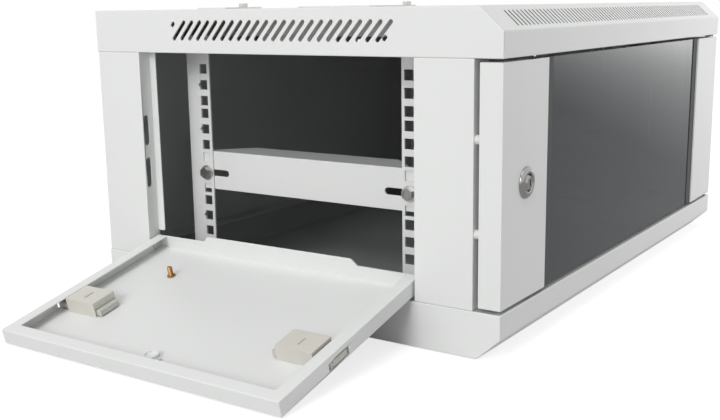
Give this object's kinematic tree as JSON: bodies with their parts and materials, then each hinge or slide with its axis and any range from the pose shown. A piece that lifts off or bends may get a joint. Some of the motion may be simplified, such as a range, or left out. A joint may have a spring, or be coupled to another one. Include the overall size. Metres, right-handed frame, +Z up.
{
  "type": "wall-mount rack cabinet",
  "caption": "Light grey steel wall-mount network rack cabinet with smoked glass door, tip-out side panels, square-hole rack rails and support brackets.",
  "frame": {"origin": "middle of the base pan's underside, on the floor", "axes": "+X to the right seen from the door, +Y from the door to the rear wall, +Z up"},
  "size_m": [0.781, 0.4528, 0.2875],
  "materials": {
    "cabinet_paint": "light grey powder coat, fine texture, satin",
    "zinc_steel": "zinc plated",
    "chrome": "bright nickel or chrome plate",
    "smoked_glass": "smoked toughened glass, polished",
    "black_rubber": "matt black",
    "pale_rubber": "translucent pale elastomer",
    "black_plastic": "moulded, matt",
    "cream_plastic": "moulded, fine texture",
    "grey_plastic": "moulded, satin",
    "brass": "plain brass, slightly dull"
  },
  "bodies": {
    "frame": {"top_cover": "cabinet_paint", "base_pan": "cabinet_paint", "rear_wall": "cabinet_paint", "cable_entry_plate": "cabinet_paint", "vent_entry_plate": "cabinet_paint", "plate_thumbscrews": "zinc_steel", "frame_screws": "zinc_steel", "rear_wall_screws": "zinc_steel", "bracket_bolts": "zinc_steel", "bracket_washers": "zinc_steel", "bracket_nuts": "zinc_steel", "rail_bolts": "zinc_steel", "rail_nuts": "zinc_steel", "door_bumpers": "pale_rubber", "hinge_bushes": "black_plastic", "front_post_left": "cabinet_paint", "rear_post_left": "cabinet_paint", "depth_rail_top_left": "zinc_steel", "depth_rail_bottom_left": "zinc_steel", "rack_rail_front_left": "cabinet_paint", "rack_rail_rear_left": "cabinet_paint", "support_bracket_left": "cabinet_paint", "front_post_right": "cabinet_paint", "rear_post_right": "cabinet_paint", "depth_rail_top_right": "zinc_steel", "depth_rail_bottom_right": "zinc_steel", "rack_rail_front_right": "cabinet_paint", "rack_rail_rear_right": "cabinet_paint", "support_bracket_right": "cabinet_paint"},
    "door": {"door_lock_strip": "cabinet_paint", "door_hinge_strip": "cabinet_paint", "door_glass": "smoked_glass", "glass_seals": "black_rubber", "glass_clamp_lock_side": "cabinet_paint", "glass_clamp_hinge_side": "cabinet_paint", "door_hinge_pins": "zinc_steel", "lock_body": "chrome", "lock_nut": "zinc_steel"},
    "lock": {"lock_plug": "chrome", "lock_cam": "zinc_steel", "cam_screw": "zinc_steel"},
    "left_panel": {"side_panel_left": "cabinet_paint", "panel_pivot_pins_left": "zinc_steel", "ground_stud_left": "brass", "panel_plug_left": "cabinet_paint", "latch_housing_left_front": "cream_plastic", "latch_housing_left_rear": "cream_plastic"},
    "left_front_latch": {"latch_slider_left_front": "grey_plastic"},
    "left_rear_latch": {"latch_slider_left_rear": "grey_plastic"},
    "right_panel": {"side_panel_right": "cabinet_paint", "panel_pivot_pins_right": "zinc_steel", "ground_stud_right": "brass", "panel_plug_right": "cabinet_paint", "latch_housing_right_front": "cream_plastic", "latch_housing_right_rear": "cream_plastic"},
    "right_front_latch": {"latch_slider_right_front": "grey_plastic"},
    "right_rear_latch": {"latch_slider_right_rear": "grey_plastic"}
  },
  "joints": [
    {"name": "door_hinge", "type": "hinge", "parent": "frame", "child": "door", "pos_m": [0.291, -0.214, 0.141], "axis": [0, 0, 1], "range_deg": [0, 180]},
    {"name": "lock_turn", "type": "hinge", "parent": "door", "child": "lock", "pos_m": [-0.2555, -0.21, 0.141], "axis": [0, 1, 0], "range_deg": [0, 90]},
    {"name": "left_panel_tilt", "type": "hinge", "parent": "frame", "child": "left_panel", "pos_m": [-0.2947, 0.0104, 0.05], "axis": [0, 1, 0], "range_deg": [0, 103.54]},
    {"name": "right_panel_tilt", "type": "hinge", "parent": "frame", "child": "right_panel", "pos_m": [0.2947, 0.0104, 0.05], "axis": [0, 1, 0], "range_deg": [0, 103.54]},
    {"name": "left_front_latch_slide", "type": "slide", "parent": "left_panel", "child": "left_front_latch", "axis": [0, -1, 0], "range_m": [-0.005, 0.005]},
    {"name": "left_rear_latch_slide", "type": "slide", "parent": "left_panel", "child": "left_rear_latch", "axis": [0, 1, 0], "range_m": [-0.005, 0.005]},
    {"name": "right_front_latch_slide", "type": "slide", "parent": "right_panel", "child": "right_front_latch", "axis": [0, -1, 0], "range_m": [0, 0.01]},
    {"name": "right_rear_latch_slide", "type": "slide", "parent": "right_panel", "child": "right_rear_latch", "axis": [0, 1, 0], "range_m": [0, 0.01]}
  ]
}
